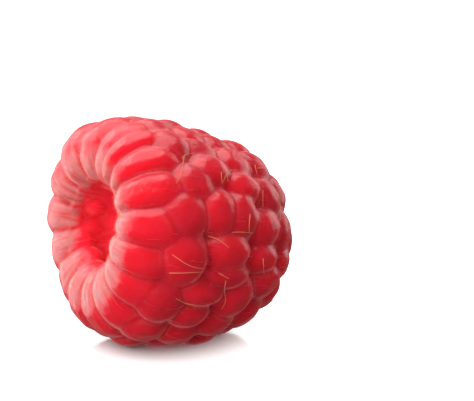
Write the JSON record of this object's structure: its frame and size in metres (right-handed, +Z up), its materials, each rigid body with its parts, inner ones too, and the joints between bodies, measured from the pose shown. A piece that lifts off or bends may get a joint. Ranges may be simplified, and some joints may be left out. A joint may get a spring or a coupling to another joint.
{
  "type": "raspberry",
  "caption": "Picked raspberry lying on its side: rounded drupelets in staggered rows fused round a conical hollow that opens at one end.",
  "frame": {"origin": "bottom centre of the berry's box, on the surface that it lies on", "axes": "+Z up; the open end of the hollow faces -X and is raised by about 11 degrees"},
  "size_m": [0.021, 0.0216, 0.0212],
  "materials": {
    "drupelets": "satin"
  },
  "bodies": {
    "root": {"raspberry": "drupelets"}
  },
  "joints": []
}
